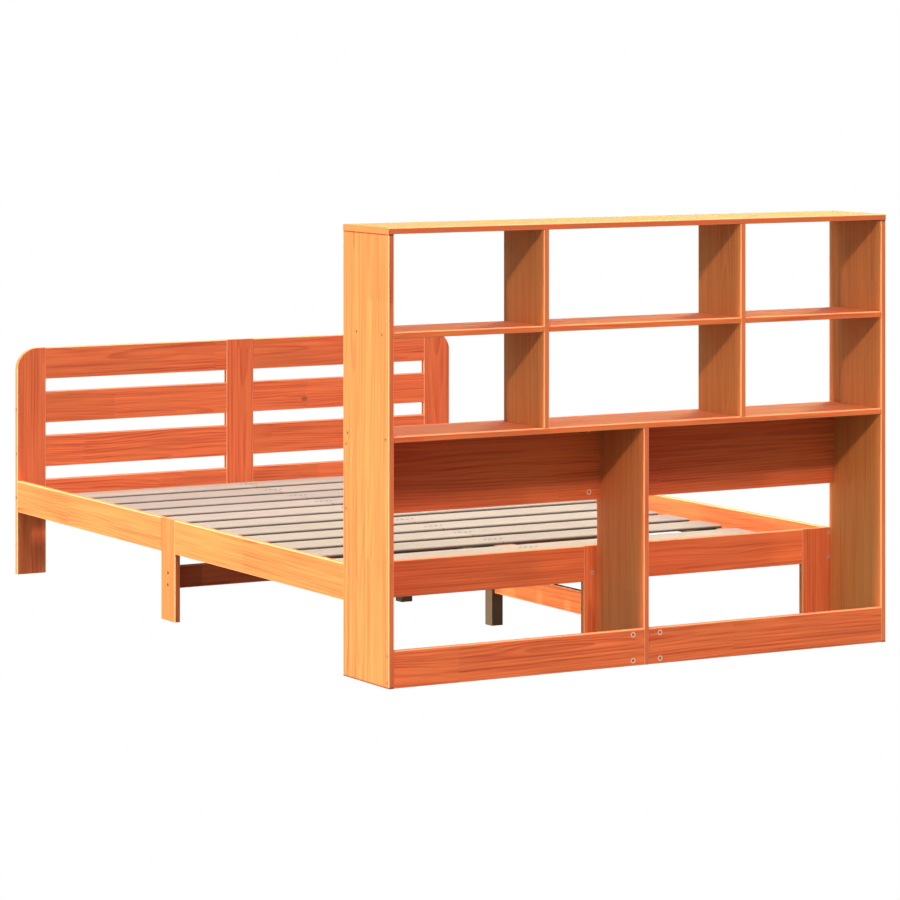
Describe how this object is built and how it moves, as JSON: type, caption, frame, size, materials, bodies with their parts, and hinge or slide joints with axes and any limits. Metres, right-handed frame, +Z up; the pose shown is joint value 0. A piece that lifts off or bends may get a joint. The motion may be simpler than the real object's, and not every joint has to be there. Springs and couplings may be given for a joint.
{
  "type": "bed frame",
  "caption": "Slatted double bed frame of stained pine with an open bookcase for a headboard and a railed foot end.",
  "frame": {"origin": "on the floor, at the middle of the bed's outline", "axes": "+X to the right seen from the bookcase end, +Y from the bookcase to the foot end, +Z up"},
  "size_m": [1.455, 2.259, 1.097],
  "materials": {
    "stained_pine": "satin",
    "plain_pine": "matte",
    "dowel_wood": "matte",
    "steel": "satin"
  },
  "bodies": {
    "root": {"case_side_left": "stained_pine", "case_side_right": "stained_pine", "case_top_left": "stained_pine", "case_top_right": "stained_pine", "upper_divider_left": "stained_pine", "upper_divider_right": "stained_pine", "upper_shelf_left": "stained_pine", "upper_shelf_centre": "stained_pine", "upper_shelf_right": "stained_pine", "lower_shelf_left": "stained_pine", "lower_shelf_centre": "stained_pine", "lower_shelf_right": "stained_pine", "lower_divider": "stained_pine", "back_board_left": "stained_pine", "back_board_right": "stained_pine", "base_board_left": "stained_pine", "base_board_right": "stained_pine", "head_post_left": "stained_pine", "head_post_centre": "stained_pine", "head_post_right": "stained_pine", "head_rail_left": "stained_pine", "head_rail_right": "stained_pine", "foot_post_left": "stained_pine", "foot_post_centre": "stained_pine", "foot_post_right": "stained_pine", "foot_board_left_1": "stained_pine", "foot_board_left_2": "stained_pine", "foot_board_left_3": "stained_pine", "foot_board_left_4": "stained_pine", "foot_board_right_1": "stained_pine", "foot_board_right_2": "stained_pine", "foot_board_right_3": "stained_pine", "foot_board_right_4": "stained_pine", "side_rail_left_head": "stained_pine", "side_rail_left_foot": "stained_pine", "side_rail_right_head": "stained_pine", "side_rail_right_foot": "stained_pine", "mid_leg_left": "stained_pine", "mid_leg_right": "stained_pine", "ledge_left_head": "plain_pine", "ledge_left_foot": "plain_pine", "ledge_right_head": "plain_pine", "ledge_right_foot": "plain_pine", "centre_beam_head": "plain_pine", "centre_beam_foot": "plain_pine", "centre_leg_head": "plain_pine", "centre_leg_middle": "plain_pine", "centre_leg_foot": "plain_pine", "cross_beam_left": "stained_pine", "cross_beam_right": "stained_pine", "low_brace": "stained_pine", "slats_left": "plain_pine", "slats_right": "plain_pine", "side_screws": "steel", "post_screws": "steel", "divider_studs": "steel", "frame_bolts": "steel", "cross_nuts": "steel", "dowels": "dowel_wood"}
  },
  "joints": []
}
